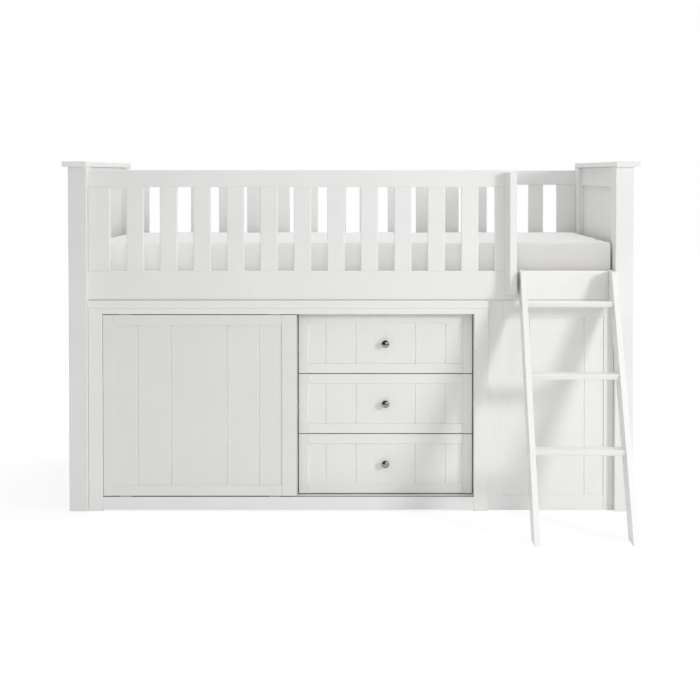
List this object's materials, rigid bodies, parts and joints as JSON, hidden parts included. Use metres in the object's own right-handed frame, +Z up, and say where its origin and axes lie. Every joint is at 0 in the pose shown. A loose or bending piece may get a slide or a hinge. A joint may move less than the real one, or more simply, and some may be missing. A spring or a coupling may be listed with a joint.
{
  "type": "cabin bed",
  "caption": "Raised single bed on posts with slatted guards, a cabinet with a sliding door and drawers under it, and a leaning ladder.",
  "frame": {"origin": "floor, under the middle of the bed's outer box with its ladder", "axes": "+X along the bed to the ladder end, +Y from the front to the rear, +Z up"},
  "size_m": [2.07, 1.49, 1.265],
  "materials": {
    "paint": "satin white paint on wood",
    "bare_wood": "planed pine",
    "nylon": "moulded",
    "dark_plastic": "extruded",
    "zinc": "zinc plated",
    "black_steel": "blackened steel strip",
    "chrome": "polished",
    "mattress_cloth": "woven white ticking"
  },
  "bodies": {
    "bed": {"post_front_left": "paint", "post_front_right": "paint", "post_rear_left": "paint", "post_rear_right": "paint", "floor_glides": "nylon", "cap_left": "paint", "cap_right": "paint", "end_rails_left": "paint", "end_rails_right": "paint", "end_panels_left": "paint", "end_panels_right": "paint", "front_top_rail": "paint", "front_guard_stiles": "paint", "front_guard_slats": "paint", "front_side_rail": "paint", "rear_top_rail": "paint", "rear_guard_stiles": "paint", "rear_guard_slats": "paint", "rear_side_rail": "paint", "grab_post": "paint", "slat_ledgers": "bare_wood", "base_slats": "bare_wood", "mattress": "mattress_cloth", "frame_bolts": "zinc", "barrel_nuts": "zinc", "cabinet_side_left": "paint", "cabinet_side_right": "paint", "cabinet_divider": "paint", "cabinet_top": "paint", "cabinet_bottom": "paint", "cabinet_back": "paint", "cabinet_stiles": "paint", "cabinet_top_rail": "paint", "cabinet_plinth": "paint", "cabinet_shelf": "paint", "shelf_pins": "zinc", "door_tracks": "dark_plastic", "drawer_runners": "bare_wood", "infill_frame": "paint", "infill_panel": "paint"},
    "sliding_door": {"door_frame": "paint", "door_panel": "paint", "door_glides": "nylon"},
    "drawer_lower": {"drawer_lower_front": "paint", "drawer_lower_box": "bare_wood", "drawer_lower_bottom": "bare_wood", "drawer_lower_knob": "chrome"},
    "drawer_middle": {"drawer_middle_front": "paint", "drawer_middle_box": "bare_wood", "drawer_middle_bottom": "bare_wood", "drawer_middle_knob": "chrome"},
    "drawer_upper": {"drawer_upper_front": "paint", "drawer_upper_box": "bare_wood", "drawer_upper_bottom": "bare_wood", "drawer_upper_knob": "chrome"},
    "ladder": {"ladder_stiles": "paint", "ladder_treads": "paint", "ladder_hooks": "black_steel", "ladder_screws": "zinc"}
  },
  "joints": [
    {"name": "door_slide", "type": "slide", "parent": "bed", "child": "sliding_door", "axis": [-1, 0, 0], "range_m": [-0.64, 0]},
    {"name": "drawer_lower_slide", "type": "slide", "parent": "bed", "child": "drawer_lower", "axis": [0, -1, 0], "range_m": [0, 0.3]},
    {"name": "drawer_middle_slide", "type": "slide", "parent": "bed", "child": "drawer_middle", "axis": [0, -1, 0], "range_m": [0, 0.3]},
    {"name": "drawer_upper_slide", "type": "slide", "parent": "bed", "child": "drawer_upper", "axis": [0, -1, 0], "range_m": [0, 0.3]},
    {"name": "ladder_lift", "type": "slide", "parent": "bed", "child": "ladder", "axis": [0, 0, 1], "range_m": [0, 0.05]}
  ]
}
